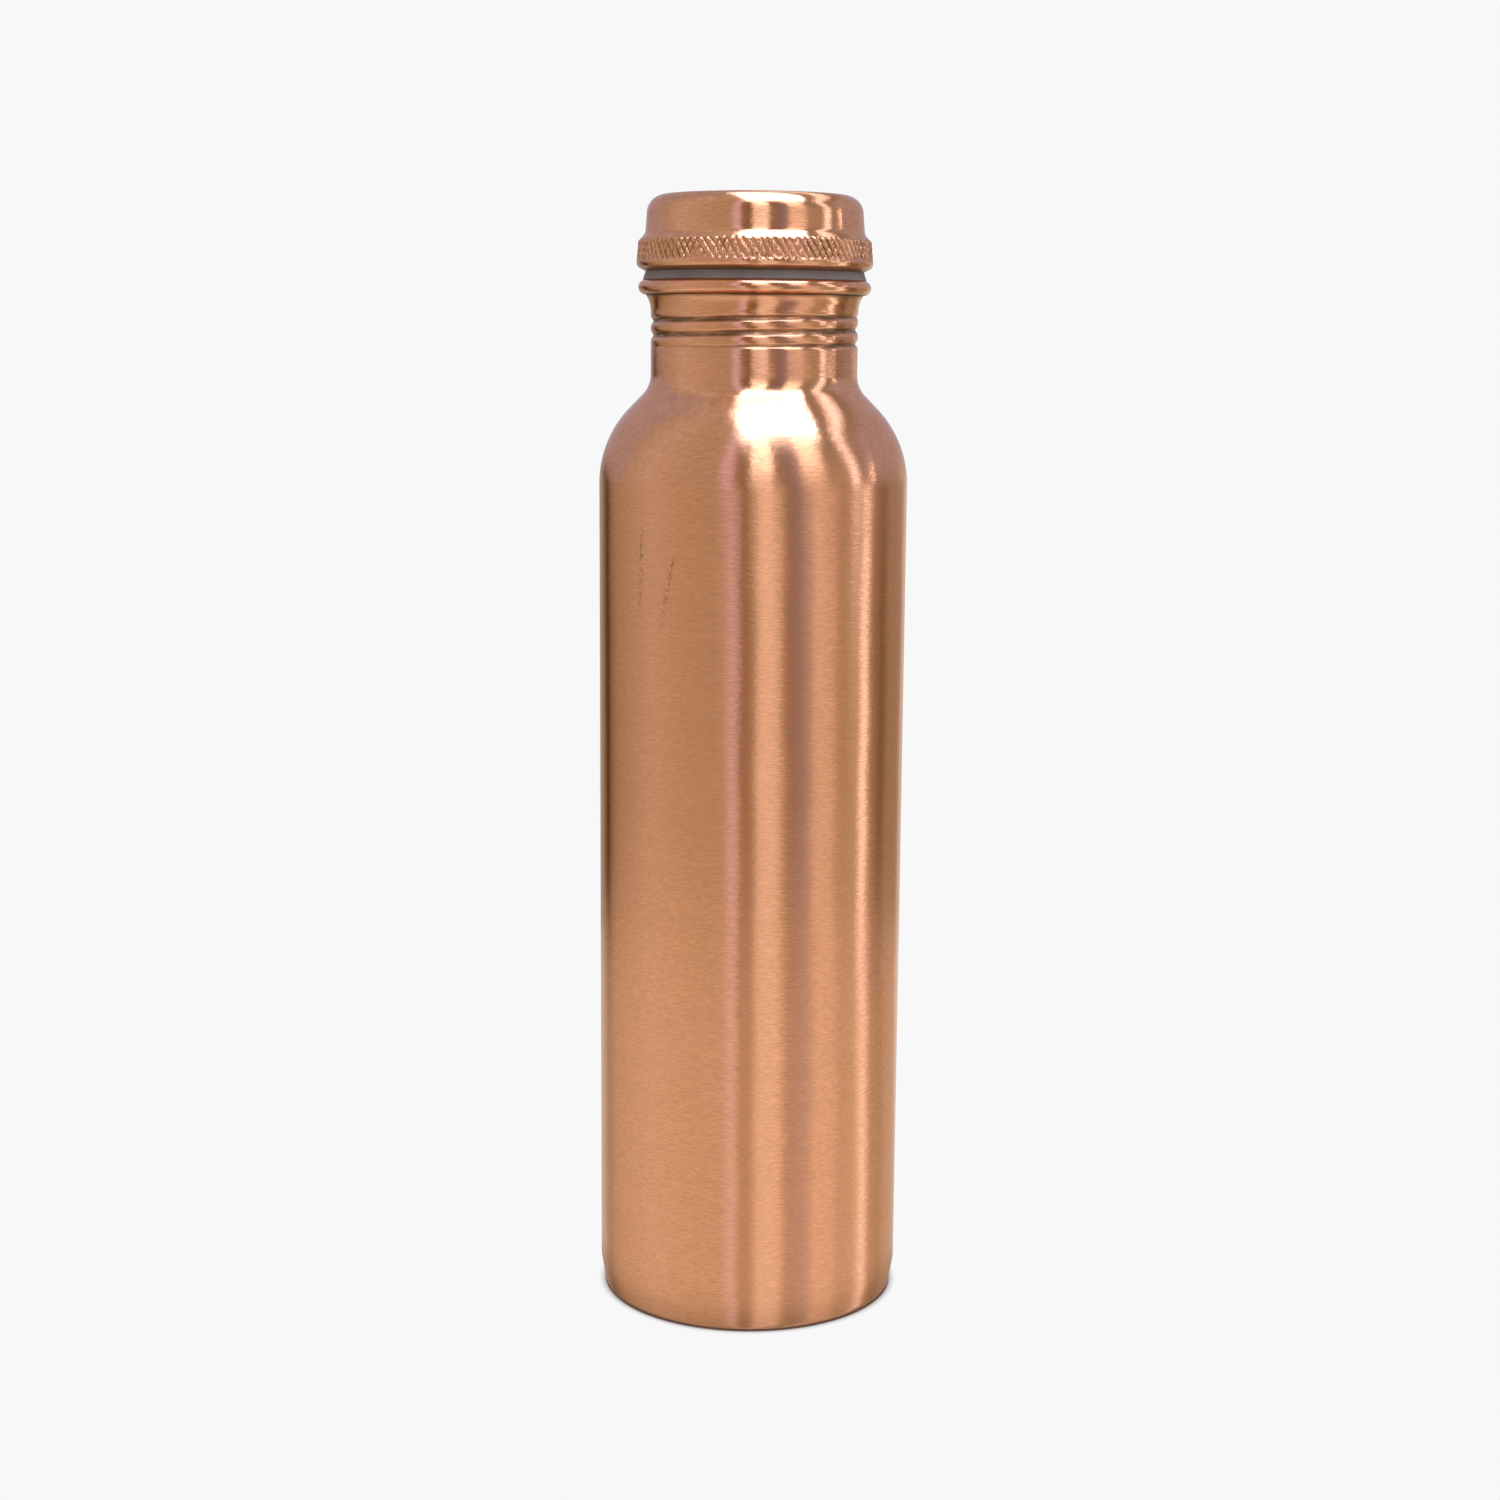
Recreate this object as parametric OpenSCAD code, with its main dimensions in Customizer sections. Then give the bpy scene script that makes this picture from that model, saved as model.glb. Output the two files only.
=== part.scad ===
// Copper water bottle: a spun copper body on a pressed base plate, with a seal ring and a screw cap.
// Millimetres. +Z is up, and the origin is the centre of the foot, on the surface it stands on.

/* [Body] */
// Outer diameter of the body
body_d = 72; // [60:0.5:90]
// Height of the open body, from the foot to the top of the lip
body_h = 241.8; // [200:0.1:300]
// Thickness of the body's sheet
wall = 0.6; // [0.5:0.05:0.75]

/* [Foot] */
// Height over which the wall draws in to the foot
foot_h = 6.5; // [4:0.5:12]
// How far the wall draws in at the foot, on the radius
foot_draw = 0.6; // [0:0.1:1.5]
// Outer radius of the corner where the wall turns under
foot_corner = 0.9; // [0.8:0.1:2]
// Width of the ring turned in under the wall
foot_w = 4.5; // [3:0.5:8]

/* [Base plate] */
// Thickness of the base plate
base_t = 0.8; // [0.5:0.1:1.5]
// Height that the middle of the base plate is dished up
base_rise = 3; // [1:0.5:6]
// Width of the plate's flat rim
base_rim = 4; // [3:0.5:8]
// Gap between the plate's edge and the turned corner
base_gap = 0.1; // [0.05:0.05:0.3]

/* [Shoulder] */
// Radius of the shoulder's outer curve
shoulder_r = 25; // [15:0.5:30]
// Length of the straight slope between the shoulder's two curves
shoulder_run = 4.2; // [1:0.1:8]
// Radius of the hollow curve where the shoulder meets the neck
neck_fillet = 6.7; // [3:0.1:10]

/* [Neck and lip] */
// Outer diameter of the neck
neck_d = 48; // [40:0.5:58]
// Length of plain neck under the thread
neck_h = 5.8; // [3:0.1:12]
// Height of the flare and lip above the thread
lip_h = 7.1; // [6:0.1:10]
// Radius of the curve that flares the neck out to the lip
flare_r = 6.9; // [6:0.1:9]
// Angle through which the neck flares
flare_angle = 33; // [20:1:40]
// Outer radius of the rolled lip
lip_r = 1.55; // [1.4:0.05:2]
// How far the lip stands back from the neck's bore
lip_back = 0.2; // [0.1:0.05:0.5]
// Depth to which the lip's top is pressed flat for the seal
lip_seat = 0.1; // [0.05:0.05:0.2]

/* [Thread] */
// Rise of the thread in one turn
pitch = 3.3; // [2.5:0.1:4]
// Depth of the rolled thread
thread_depth = 0.65; // [0.5:0.05:0.8]
// Height of the threaded band
thread_h = 8.5; // [6:0.5:14]
// Height over which the thread fades in and out
thread_fade = 1.4; // [0.8:0.1:2]
// Angle at which the crest leaves the bottom of the band
thread_start = 30; // [0:5:355]
// Gap between the neck's thread and the plug's
thread_gap = 0.35; // [0.25:0.05:0.5]

/* [Seal] */
// Thickness of the seal ring
seal_h = 2.1; // [1.5:0.1:3]
// How far the seal's lower edge stands out from the middle of the lip
seal_out = 0.75; // [0.5:0.05:1]
// How much the seal's outer side slopes in towards the cap
seal_slope = 0.7; // [0:0.1:1]
// Gap between the seal ring and the plug inside it
seal_gap = 0.3; // [0.2:0.05:0.5]

/* [Cap] */
// Height of the cap above the seal
cap_h = 18; // [14:0.5:30]
// How far the cap's side stands out from the neck
cap_out = 1.3; // [1:0.1:3]
// Thickness of the cap's sheet
cap_wall = 0.6; // [0.5:0.05:0.75]
// How much the cap's side tapers in, on the radius
cap_taper = 0.35; // [0:0.05:1]
// Radius of the cap's upper edge
cap_edge = 3.6; // [2:0.1:5]
// Rise of the dome in the cap's top
cap_dome = 0.8; // [0.2:0.1:2]
// How far the grip band stands out from the cap's side
grip_out = 2; // [1.5:0.1:3]
// Height of the grip band, chamfer and ledge included
grip_h = 8.3; // [6:0.1:10]
// Height of the chamfer under the grip band
grip_chamfer = 1.4; // [1:0.1:2]
// Height of the ledge above the grip band
grip_ledge = 1.1; // [0.8:0.1:2]
// How much the band's upper edge is smaller than its lower, on the radius
grip_taper = 0.5; // [0:0.1:0.8]

/* [Plug] */
// How far the plug reaches below the thread
plug_tail = 2; // [1.5:0.1:6]
// Outer radius of the plug's lower corner
plug_corner = 1.4; // [0.8:0.1:2]
// Gap between the edge of the plug's flange and the foot of the cap's chamfer
flange_gap = 0.5; // [0.3:0.1:1]

/* [Hidden] */
body_r = body_d / 2;
neck_r = neck_d / 2;
neck_bore = neck_r - wall;
foot_r = body_r - foot_draw;
foot_edge = foot_r - foot_w;

// The threaded band, and the neck's fillet below it
thread_top = body_h - lip_h;
thread_z = thread_top - thread_h;
neck_z = thread_z - neck_h;

// Slope at which the shoulder's two curves and the straight between them meet the neck
curves = shoulder_r + neck_fillet;
slope = acos((curves - (body_r - neck_r)) / norm([curves, shoulder_run])) - atan2(shoulder_run, curves);
shoulder_z = neck_z - curves * sin(slope) - shoulder_run * cos(slope);

// Middle of the rolled lip's section
lip_mid = [neck_bore + lip_back + lip_r, body_h - lip_r + lip_seat];

// The plug's plain stem, clear of the neck's thread, and its lowest level
plug_r = neck_bore - thread_depth - thread_gap;
plug_z = thread_z - plug_tail;

// The cap's levels and radii
cap_z = body_h + seal_h;
cap_top = cap_z + cap_h;
cap_r = neck_r + cap_out;
grip_r = cap_r + grip_out;
ledge_z = cap_z + grip_h;
flange_r = cap_r - flange_gap;

// The rolled wall laps into the plain sheet at each end, and rolling thins it on each face
lap = 0.3;
thinned = 0.05;
thread_sides = 60;
thread_rows = 18;

$fn = 96;

// Points along an arc of radius r about c, from angle a to angle b
function arc(c, r, a, b, n) = [for (i = [0 : n]) c + r * [cos(a + (b - a) * i / n), sin(a + (b - a) * i / n)]];

// Unit vector to the left of the way from p to q
function left(p, q) = [p[1] - q[1], q[0] - p[0]] / norm(q - p);

// A path moved t to its left. A point on the axis stays on it.
function moved(path, t) = [
    for (i = [0 : len(path) - 1])
        let (
            last = len(path) - 1,
            before = left(path[max(i, 1) - 1], path[max(i, 1)]),
            after = left(path[min(i, last - 1)], path[min(i, last - 1) + 1]),
            p = path[i] + t * (before + after) / (1 + before * after)
        )
        [path[i][0] == 0 ? 0 : p[0], p[1]]
];

function backwards(path) = [for (i = [len(path) - 1 : -1 : 0]) path[i]];

// Sheet of thickness t, spun round the axis, with its outer face on the path
module spun(path, t) {
    rotate_extrude() polygon(concat(path, backwards(moved(path, t))));
}

function eased(x) = (1 - cos(180 * min(max(x, 0), 1))) / 2;
function fade(z) = eased((z - thread_z) / thread_fade) * eased((thread_top - z) / thread_fade);
function wave(a, z) = cos(360 * (z - thread_z) / pitch - a + thread_start);

// A right-hand thread rolled into sheet whose outer face is r. It is rolled inwards where side is -1, and
// outwards where side is 1.
module rolled_thread(r, t, side) {
    half = t / 2 - thinned;
    step = (thread_h + 2 * lap) / thread_rows;
    layer = thread_sides * (thread_rows + 1);
    points = [
        for (face = [1, -1], j = [0 : thread_rows], i = [0 : thread_sides - 1])
            let (
                a = 360 * i / thread_sides,
                z = thread_z - lap + j * step,
                roll = thread_depth * (wave(a, z) + side) / 2 * fade(z),
                rho = r - t / 2 + roll + face * half
            )
            [rho * cos(a), rho * sin(a), z]
    ];
    function at(face, j, i) = face * layer + j * thread_sides + i % thread_sides;
    function quad(p, q, s, u) = [[p, q, s], [p, s, u]];
    outside = [
        for (j = [0 : thread_rows - 1], i = [0 : thread_sides - 1])
            each quad(at(0, j, i), at(0, j + 1, i), at(0, j + 1, i + 1), at(0, j, i + 1))
    ];
    inside = [
        for (j = [0 : thread_rows - 1], i = [0 : thread_sides - 1])
            each quad(at(1, j, i), at(1, j, i + 1), at(1, j + 1, i + 1), at(1, j + 1, i))
    ];
    ends = [
        for (i = [0 : thread_sides - 1])
            each concat(
                quad(at(0, 0, i), at(0, 0, i + 1), at(1, 0, i + 1), at(1, 0, i)),
                quad(at(0, thread_rows, i), at(1, thread_rows, i),
                     at(1, thread_rows, i + 1), at(0, thread_rows, i + 1))
            )
    ];
    polyhedron(points, concat(outside, inside, ends), convexity = 8);
}

// Foot, wall, shoulder and plain neck
module body_sheet() {
    spun(
        concat(
            [[foot_edge, 0]],
            arc([foot_r - foot_corner, foot_corner], foot_corner, -90, 0, 6),
            [[body_r, foot_h]],
            arc([body_r - shoulder_r, shoulder_z], shoulder_r, 0, slope, 24),
            arc([neck_r + neck_fillet, neck_z], neck_fillet, 180 + slope, 180, 12),
            [[neck_r, thread_z]]
        ),
        wall
    );
}

// Neck above the thread, flared out and rolled over into a hollow lip with its edge tucked underneath
module lip() {
    flare = arc([neck_r + flare_r, thread_top], flare_r, 180, 180 - flare_angle, 10);
    rotate_extrude() difference() {
        union() {
            polygon(
                concat(
                    flare,
                    [[lip_mid[0] - lip_r + wall, lip_mid[1]], [lip_mid[0] - lip_r, lip_mid[1]]],
                    [[neck_bore, thread_top + 2 * lap], [neck_bore, thread_top]]
                )
            );
            polygon(concat(arc(lip_mid, lip_r, 181, -90, 36), arc(lip_mid, lip_r - wall, -90, 181, 36)));
        }
        translate([lip_mid[0] - lip_r, body_h]) square(2 * lip_r);
    }
}

module bottle_body() {
    color("peru") {
        body_sheet();
        rolled_thread(neck_r, wall, -1);
        lip();
    }
}

// Pressed disc, dished up in the middle, lying on the turned-in foot
module base_plate() {
    plate_r = foot_r - foot_corner - base_gap;
    dish_r = plate_r - base_rim;
    dish_curve = (pow(dish_r, 2) + pow(base_rise, 2)) / (2 * base_rise);
    dish_angle = asin(dish_r / dish_curve);
    color("sienna") spun(
        concat(
            arc([0, wall + base_rise - dish_curve], dish_curve, 90, 90 - dish_angle, 12),
            [[plate_r, wall]]
        ),
        base_t
    );
}

// Soft ring held on the plug, between the lip and the cap
module seal_ring() {
    seal_r = lip_mid[0] + seal_out;
    seal_bore = plug_r + seal_gap;
    color("dimgray") rotate_extrude() polygon([
        [seal_bore, body_h],
        [seal_r, body_h],
        [seal_r - seal_slope, cap_z],
        [seal_bore, cap_z]
    ]);
}

// Pressed cup with a grip band, whose lower edge is turned in under the plug's flange
module cap_shell() {
    edge_r = cap_r - cap_taper;
    dome_run = edge_r - cap_edge;
    dome_curve = (pow(dome_run, 2) + pow(cap_dome, 2)) / (2 * cap_dome);
    dome_angle = asin(dome_run / dome_curve);
    edge_z = cap_top - cap_dome - cap_edge * cos(dome_angle);
    color("chocolate") spun(
        concat(
            [[plug_r + seal_gap, cap_z], [cap_r, cap_z], [grip_r - 0.3, cap_z + grip_chamfer]],
            [[grip_r, cap_z + grip_chamfer + 0.7], [grip_r - grip_taper, ledge_z - grip_ledge]],
            [[cap_r, ledge_z]],
            arc([edge_r - cap_edge, edge_z], cap_edge, 0, 90 - dome_angle, 8),
            arc([0, cap_top - dome_curve], dome_curve, 90 - dome_angle, 90, 8)
        ),
        cap_wall
    );
}

// Closed threaded cup that hangs in the neck, with a flange fixed on the cap's turned-in edge
module cap_plug() {
    color("darkgoldenrod") {
        spun(
            concat(
                [[0, plug_z]],
                arc([plug_r - plug_corner, plug_z + plug_corner], plug_corner, -90, 0, 6),
                [[plug_r, thread_z]]
            ),
            wall
        );
        rolled_thread(plug_r, wall, 1);
        spun([[plug_r, thread_top], [plug_r, cap_z + cap_wall], [flange_r, cap_z + cap_wall]], wall);
    }
}

bottle_body();
base_plate();
seal_ring();
cap_shell();
cap_plug();
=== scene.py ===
"""Copper water bottle: the looks, built round the packed solids and in their frame.

Laid out as an add-on: sizes and finishes in property groups, one operator for each piece and one for
the stage, and a panel that lists them. Run as a script, it makes everything in order.
"""

import math

import bpy
from bpy.props import FloatProperty, FloatVectorProperty, IntProperty, PointerProperty
from mathutils import Matrix, Vector, noise


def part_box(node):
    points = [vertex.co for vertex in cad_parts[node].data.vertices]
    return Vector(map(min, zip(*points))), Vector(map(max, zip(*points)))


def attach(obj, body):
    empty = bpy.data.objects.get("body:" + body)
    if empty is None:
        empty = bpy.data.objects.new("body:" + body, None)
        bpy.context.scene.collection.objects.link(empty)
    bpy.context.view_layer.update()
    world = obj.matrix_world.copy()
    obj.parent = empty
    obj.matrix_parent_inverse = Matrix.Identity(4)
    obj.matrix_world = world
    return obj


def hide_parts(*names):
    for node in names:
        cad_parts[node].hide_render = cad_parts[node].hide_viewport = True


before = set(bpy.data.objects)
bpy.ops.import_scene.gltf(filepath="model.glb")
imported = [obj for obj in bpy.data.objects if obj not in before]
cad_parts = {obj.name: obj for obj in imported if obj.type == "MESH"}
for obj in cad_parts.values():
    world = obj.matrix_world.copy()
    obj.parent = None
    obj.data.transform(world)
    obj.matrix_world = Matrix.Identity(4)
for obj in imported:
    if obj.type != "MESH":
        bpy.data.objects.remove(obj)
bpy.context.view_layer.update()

bl_info = {
    "name": "Copper water bottle",
    "version": (1, 0, 0),
    "blender": (4, 5, 0),
    "location": "3D View > Sidebar > Bottle",
    "description": "Makes a spun copper bottle, its seal ring and its knurled screw cap",
    "category": "Add Mesh",
}

MM = 0.001

# Facets round the base plate and the seal, and round the plug
RING_FACETS = 192
PLUG_FACETS = 256

# Height between the rows of points in the threaded bands
THREAD_ROW = 0.2 * MM

# Height over which hand-made unevenness changes
UNEVEN_HEIGHT = 8 * MM

# How far the painted shade reaches out from the crevices under the lip and under the cap
LIP_SHADE_REACH = 1.2 * MM
CAP_SHADE_REACH = 2.4 * MM

# The corners of the packed solids, from which the pieces take their places
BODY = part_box("bottle_body")[1]
PLATE_LOW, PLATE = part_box("base_plate")
SEAL_LOW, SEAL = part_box("seal_ring")
SHELL_LOW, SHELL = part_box("cap_shell")
PLUG_LOW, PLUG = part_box("cap_plug")


def length(name, default, description):
    return FloatProperty(
        name=name, description=description, default=default, unit="LENGTH", precision=5
    )


def share(name, default, description):
    return FloatProperty(name=name, description=description, default=default, min=0, max=1)


class BodySizes(bpy.types.PropertyGroup):
    """Sizes of the body, in metres"""

    sheet: length("Sheet", 0.6 * MM, "Thickness of the copper sheet")
    foot_height: length("Foot height", 6.5 * MM, "Height over which the wall draws in to the foot")
    foot_draw: length("Foot draw", 0.9 * MM, "How far the wall draws in at the foot")
    foot_corner: length("Foot corner", 1.2 * MM, "Radius of the corner where the wall turns under")
    foot_width: length("Foot width", 4.5 * MM, "Width of the ring turned in under the wall")
    shoulder: length("Shoulder", 25 * MM, "Radius of the shoulder's outer curve")
    shoulder_run: length("Shoulder run", 4.2 * MM, "Length of the straight slope of the shoulder")
    fillet: length("Neck fillet", 6.7 * MM, "Radius of the hollow curve under the neck")
    neck: length("Neck", 24 * MM, "Outer radius of the neck")
    neck_height: length("Neck height", 5.8 * MM, "Length of plain neck under the thread")
    lip_height: length("Lip height", 7.1 * MM, "Height of the flare and lip above the thread")
    flare: length("Flare", 6.9 * MM, "Radius of the curve that flares the neck")
    flare_angle: FloatProperty(
        name="Flare angle", description="Angle through which the neck flares",
        default=math.radians(33), subtype="ANGLE",
    )
    lip: length("Lip", 1.65 * MM, "Outer radius of the rolled lip")
    lip_back: length("Lip setback", 0.2 * MM, "How far the lip stands back from the bore")
    lip_seat: length("Lip seat", 0.1 * MM, "Depth to which the lip's top is pressed flat")
    facets: IntProperty(name="Facets", description="Facets round the body", default=288, min=24)


class ThreadSizes(bpy.types.PropertyGroup):
    """Sizes of the rolled thread, in metres"""

    height: length("Height", 8.5 * MM, "Height of the threaded band")
    pitch: length("Pitch", 3.3 * MM, "Rise of the thread in one turn")
    depth: length("Depth", 0.65 * MM, "Depth of the thread")
    fade: length("Fade", 1.4 * MM, "Height over which the thread fades in and out")
    start: FloatProperty(
        name="Start", description="Angle at which the crest leaves the bottom of the band",
        default=math.radians(30), subtype="ANGLE",
    )
    gap: length("Gap", 0.35 * MM, "Gap between the neck's thread and the plug's")
    uneven: length("Unevenness", 0.12 * MM, "How far the rolled ridges wander")


class CapSizes(bpy.types.PropertyGroup):
    """Sizes of the cap and its seal, in metres"""

    sheet: length("Sheet", 0.6 * MM, "Thickness of the cap's sheet")
    side: length("Side", 25.3 * MM, "Radius of the cap's side, just above the ledge")
    taper: length("Taper", 0.35 * MM, "How much the side tapers in to the top")
    edge: length("Edge", 4.2 * MM, "Radius of the cap's upper edge")
    dome: length("Dome", 0.8 * MM, "Rise of the dome in the cap's top")
    grip_height: length("Grip height", 8.5 * MM, "Height of the grip band and its ledge")
    ledge: length("Ledge", 1.8 * MM, "Height of the sloped ledge above the grip band")
    grip_taper: length("Grip taper", 0.4 * MM, "How much smaller the band is at its upper edge")
    knurl_low: length("Knurl bottom", 2.2 * MM, "Height of the knurl's lower edge above the seal")
    knurl_rise: length("Knurl rise", 3 * MM, "Height of one diamond of the knurl")
    knurl_depth: length("Knurl depth", 0.46 * MM, "Depth of the knurl's deeper cuts")
    teeth: IntProperty(name="Teeth", description="Diamonds round the grip band", default=94, min=12)
    facets_per_tooth: IntProperty(
        name="Facets per tooth", description="Facets to a diamond", default=8, min=4
    )
    seal_gap: length("Seal gap", 0.3 * MM, "Gap between the seal ring and the plug")
    seal_slope: length("Seal slope", 0.7 * MM, "How much the seal's side slopes in towards the cap")
    plug_corner: length("Plug corner", 1.4 * MM, "Radius of the plug's lower corner")
    plate_sheet: length("Base sheet", 0.8 * MM, "Thickness of the base plate")
    plate_rim: length("Base rim", 4 * MM, "Width of the base plate's flat rim")


class Finish(bpy.types.PropertyGroup):
    """Colours and polish"""

    copper: FloatVectorProperty(
        name="Copper", description="Colour of clean brushed copper", subtype="COLOR", size=3,
        default=(0.92, 0.42, 0.205), min=0, max=1,
    )
    # Used for the scratches, for darker copper in the knurl cuts and thread grooves, and as painted
    # shade in the crevices under the lip and under the cap's hem
    tarnish_and_shade: FloatVectorProperty(
        name="Tarnish", description="Colour of copper in grooves that are never rubbed",
        subtype="COLOR", size=3, default=(0.24, 0.125, 0.06), min=0, max=1,
    )
    seal: FloatVectorProperty(
        name="Seal", description="Colour of the seal ring", subtype="COLOR", size=3,
        default=(0.165, 0.124, 0.102), min=0, max=1,
    )
    edge: FloatVectorProperty(
        name="Edge colour", description="Colour of the copper seen at a glancing angle",
        subtype="COLOR", size=3, default=(1.0, 0.85, 0.70), min=0, max=1,
    )
    roughness: share("Roughness", 0.21, "Roughness of the brushed copper")
    lacquer: share("Lacquer", 0.12, "Weight of the clear coat")
    brushing: share("Brushing", 0.88, "How much further the brushing spreads light across its lines")


class Studio(bpy.types.PropertyGroup):
    """Camera and light"""

    lens: FloatProperty(name="Lens", description="Focal length in millimetres", default=57.9)
    distance: length("Distance", 568 * MM, "Camera's distance in front of the bottle's axis")
    aside: length("Aside", -0.27 * MM, "Camera's distance to the right of the bottle's axis")
    height: length("Height", 230.0 * MM, "Camera's height above the surface")
    tilt: FloatProperty(
        name="Tilt", description="How far the camera looks down",
        default=math.radians(9.81), subtype="ANGLE",
    )
    roll: FloatProperty(
        name="Roll", description="How far the camera leans",
        default=math.radians(0.435), subtype="ANGLE",
    )
    pale: FloatProperty(
        name="Pale", description="Brightness of the floor and background", default=0.938
    )


# ---------------------------------------------------------------------------------------------------
# Outlines: lists of (radius, height) points


def arc(centre, radius, start, end, parts):
    """Points along an arc; the angles are in radians."""
    turns = [start + (end - start) * i / parts for i in range(parts + 1)]
    across, up = centre
    return [Vector((across + radius * math.cos(a), up + radius * math.sin(a))) for a in turns]


def rounded(corners, step=math.radians(9)):
    """An outline through (radius, height, rounding) corners, each rounding an arc of that radius."""
    path = []
    for i, (r, z, rounding) in enumerate(corners):
        corner = Vector((r, z))
        if rounding == 0:
            path.append(corner)
            continue
        back = (Vector(corners[i - 1][:2]) - corner).normalized()
        on = (Vector(corners[(i + 1) % len(corners)][:2]) - corner).normalized()
        half = back.angle(on) / 2
        start = corner + back * rounding / math.tan(half)
        end = corner + on * rounding / math.tan(half)
        centre = corner + (back + on).normalized() * rounding / math.sin(half)
        spoke = start - centre
        sweep = (end - centre).angle_signed(spoke)
        parts = max(2, math.ceil(abs(sweep) / step))
        path += [centre + Matrix.Rotation(sweep * k / parts, 2) @ spoke for k in range(parts + 1)]
    return path


def left_of(p, q):
    """Unit vector to the left of the way from p to q."""
    way = (q - p).normalized()
    return Vector((-way.y, way.x))


def moved(path, distance):
    """A path moved to its left. A point on the axis stays on it."""
    found = []
    for i, p in enumerate(path):
        before = left_of(path[max(i, 1) - 1], path[max(i, 1)])
        after = left_of(path[min(i, len(path) - 2)], path[min(i, len(path) - 2) + 1])
        q = p + distance * (before + after) / (1 + before.dot(after))
        found.append(Vector((0 if p.x == 0 else q.x, q.y)))
    return found


def sheet_section(path, thickness, thin=1):
    """Section of a sheet whose outer face follows the path. Its inner face keeps one point in thin."""
    inner = moved(path, thickness)[::-1]
    return path + inner[:-1:thin] + inner[-1:]


def refined(path, longest):
    """The same path with its longer steps split up."""
    found = path[:1]
    for p, q in zip(path, path[1:]):
        parts = math.ceil((q - p).length / longest)
        found += [p.lerp(q, i / parts) for i in range(1, parts + 1)]
    return found


def radius_at(path, z):
    """Radius of a rising path at a height."""
    for p, q in zip(path, path[1:]):
        if p.y <= z <= q.y:
            return p.lerp(q, (z - p.y) / (q.y - p.y)).x
    return 0


def levels(low, high, spacing):
    """Evenly spread heights from low to high, no further apart than the spacing."""
    parts = math.ceil((high - low) / spacing - 1e-6)
    return [low + (high - low) * i / parts for i in range(parts + 1)]


def thread_low():
    scene = bpy.context.scene
    return BODY.z - scene.bottle_body.lip_height - scene.bottle_thread.height


def thread_high():
    return BODY.z - bpy.context.scene.bottle_body.lip_height


def plug_radius():
    """Radius of the plug's plain stem."""
    body, thread = bpy.context.scene.bottle_body, bpy.context.scene.bottle_thread
    return body.neck - body.sheet - thread.depth - thread.gap


# ---------------------------------------------------------------------------------------------------
# Making and shaping


def deselect():
    if bpy.context.object and bpy.context.object.mode != "OBJECT":
        bpy.ops.object.mode_set(mode="OBJECT")
    bpy.ops.object.select_all(action="DESELECT")


def spin_section(name, section, facets):
    """Spins a closed section once round the axis."""
    deselect()
    bpy.ops.mesh.primitive_circle_add(vertices=len(section), radius=BODY.x, fill_type="NOTHING")
    piece = bpy.context.object
    piece.name = piece.data.name = name
    for vertex, (r, z) in zip(piece.data.vertices, section):
        vertex.co = (r, 0, z)
    bpy.ops.object.mode_set(mode="EDIT")
    bpy.ops.mesh.select_all(action="SELECT")
    bpy.ops.mesh.spin(steps=facets, angle=math.tau, center=(0, 0, 0), axis=(0, 0, 1))
    bpy.ops.mesh.select_all(action="SELECT")
    bpy.ops.mesh.remove_doubles(threshold=MM / 1000)
    bpy.ops.mesh.delete_loose()
    bpy.ops.mesh.select_all(action="SELECT")
    bpy.ops.mesh.normals_make_consistent(inside=False)
    bpy.ops.object.mode_set(mode="OBJECT")
    return piece


def shift_radially(piece, shift, depth):
    """Moves each vertex out from the axis by shift(angle, height, radius), and notes in an attribute
    how deep each lies, as a share of the given depth."""
    hollow = piece.data.attributes.new("hollow", "FLOAT", "POINT")
    for vertex, mark in zip(piece.data.vertices, hollow.data):
        x, y, z = vertex.co
        radius = math.hypot(x, y)
        if radius > 0:
            moved_by = shift(math.atan2(y, x), z, radius)
            vertex.co = (x * (1 + moved_by / radius), y * (1 + moved_by / radius), z)
            mark.value = max(0, -moved_by / depth)
    piece.data.update()


def paint_crevice_shade(piece, spot, reach):
    """Counts as hollow, too, whatever lies within reach of a (radius, height) spot, so that the
    copper's material paints shade there, fading with distance.
    """
    for vertex, mark in zip(piece.data.vertices, piece.data.attributes["hollow"].data):
        x, y, z = vertex.co
        away = math.hypot(math.hypot(x, y) - spot[0], z - spot[1])
        mark.value = max(mark.value, 1 - away / reach)


def eased(x):
    """Rises smoothly from 0 to 1 as x does, and stays there."""
    return (1 - math.cos(math.pi * min(max(x, 0), 1))) / 2


def wander(angle, z, grain, seed):
    """Smooth unevenness from -1 to 1 that closes round the axis."""
    up = z / UNEVEN_HEIGHT + seed
    return noise.noise(Vector((grain * math.cos(angle), grain * math.sin(angle), up)))


def roll_thread(piece, side, sharpness):
    """Rolls a right-hand thread into the sheet, inwards if side is -1 and outwards if it is 1."""
    thread = bpy.context.scene.bottle_thread
    low, high = thread_low(), thread_high()

    def shift(angle, z, radius):
        if not low < z < high:
            return 0
        uneven = thread.uneven * wander(angle, z, 3, 0)
        turn = math.tau * (z + uneven - low) / thread.pitch - angle + thread.start
        rolled = ((1 + side * math.cos(turn)) / 2) ** sharpness
        fade = eased((z - low) / thread.fade) * eased((high - z) / thread.fade)
        return side * (thread.depth - abs(uneven)) * rolled * fade

    shift_radially(piece, shift, thread.depth)


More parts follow.
